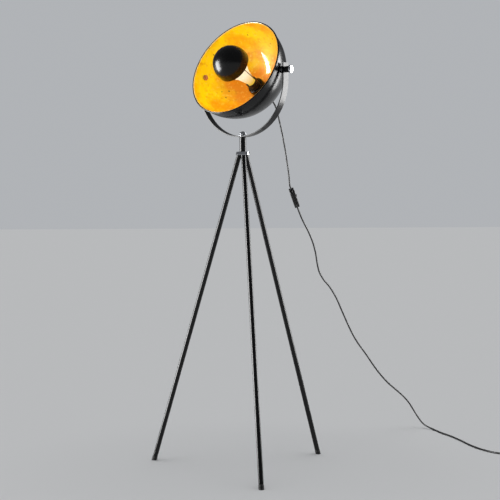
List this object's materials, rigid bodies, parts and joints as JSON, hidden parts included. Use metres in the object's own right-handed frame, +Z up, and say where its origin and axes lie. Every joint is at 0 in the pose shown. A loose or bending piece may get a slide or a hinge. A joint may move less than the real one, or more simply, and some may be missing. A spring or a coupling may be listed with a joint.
{
  "type": "tripod floor lamp",
  "caption": "Floor lamp with a spun bowl shade that tilts in a U-shaped yoke on a slim tripod, a small dome in front of the bulb and an in-line switch.",
  "frame": {"origin": "on the floor, at the middle of the box round the lamp without its cord, 75.5 mm in front of the post axis", "axes": "+Z up along the post; -Y towards the front leg; +X to the right when the front leg faces the viewer"},
  "size_m": [1.2111, 0.8499, 1.3409],
  "materials": {
    "satin_black_paint": "satin black powder coat",
    "chrome_plate": "polished",
    "zinc_steel": "bright zinc plate",
    "gold_leaf_lining": "gold leaf inside under gloss lacquer, satin black outside",
    "copper_toned_screw": "copper toned plate",
    "black_plastic": "moulded, semi-matt",
    "brass_contact": "plain",
    "ceramic": "glazed insulator",
    "bulb_glass": "clear lamp glass",
    "cord_jacket": "smooth black sheath",
    "black_rubber": "matt"
  },
  "bodies": {
    "tripod": {"hub": "chrome_plate", "leg_front": "satin_black_paint", "leg_right": "satin_black_paint", "leg_left": "satin_black_paint", "foot_front": "black_rubber", "foot_right": "black_rubber", "foot_left": "black_rubber", "post_tube": "satin_black_paint", "centre_rod": "zinc_steel", "swivel_washer": "black_plastic", "clamp_washer": "chrome_plate", "clamp_nut": "chrome_plate", "cord_lower": "cord_jacket", "cord_coil": "cord_jacket", "cord_tail": "cord_jacket", "plug_relief": "black_rubber", "plug_body": "black_plastic", "plug_pin_right": "brass_contact", "plug_pin_left": "brass_contact"},
    "yoke": {"yoke_strip": "satin_black_paint", "switch_top": "black_plastic", "switch_bottom": "black_plastic", "switch_contact": "brass_contact", "cord_upper": "cord_jacket"},
    "shade": {"holder_cup": "satin_black_paint", "reflector_dome": "satin_black_paint", "back_washer": "satin_black_paint", "washer_right": "chrome_plate", "washer_left": "chrome_plate", "nipple": "zinc_steel", "nipple_nut": "zinc_steel", "dome_bar": "zinc_steel", "wire_fork": "zinc_steel", "fork_nut_right": "zinc_steel", "fork_nut_left": "zinc_steel", "bowl_shell": "gold_leaf_lining", "pivot_bolt_right": "copper_toned_screw", "pivot_bolt_left": "copper_toned_screw", "inner_washer_right": "copper_toned_screw", "inner_washer_left": "copper_toned_screw", "wall_pad_right": "black_plastic", "wall_pad_left": "black_plastic", "spacer_right": "black_plastic", "spacer_left": "black_plastic", "holder_body": "black_plastic", "holder_ring": "black_plastic", "cord_grip": "black_plastic", "contact_shell": "brass_contact", "centre_contact": "brass_contact", "bulb_cap": "brass_contact", "contact_block": "ceramic", "bulb_base": "ceramic", "bulb_glass": "bulb_glass", "bulb_mount": "bulb_glass", "cord_inner": "cord_jacket"},
    "right_knob": {"knob_right": "black_plastic", "knob_cap_right": "chrome_plate"},
    "left_knob": {"knob_left": "black_plastic", "knob_cap_left": "chrome_plate"},
    "rocker": {"switch_rocker": "black_plastic"}
  },
  "joints": [
    {"name": "yoke_swivel", "type": "hinge", "parent": "tripod", "child": "yoke", "pos_m": [0, 0.07553, 0.99], "axis": [0, 0, 1], "range_deg": [-90, 90], "deforming": ["cord_lower"]},
    {"name": "shade_tilt", "type": "hinge", "parent": "yoke", "child": "shade", "pos_m": [0, 0.07553, 1.183], "axis": [0.6756, -0.7373, 0], "range_deg": [-65, 85], "deforming": ["cord_upper"]},
    {"name": "knob_turn_right", "type": "hinge", "parent": "shade", "child": "right_knob", "pos_m": [0, 0.07553, 1.183], "axis": [0.6756, -0.7373, 0], "range_deg": [-180, 180]},
    {"name": "knob_turn_left", "type": "hinge", "parent": "shade", "child": "left_knob", "pos_m": [0, 0.07553, 1.183], "axis": [-0.6756, 0.7373, 0], "range_deg": [-180, 180]},
    {"name": "rocker_press", "type": "hinge", "parent": "yoke", "child": "rocker", "pos_m": [0.19364, 0.23778, 0.8167], "axis": [0.0373, 0.9482, 0.3155], "range_deg": [-14, 0]}
  ]
}
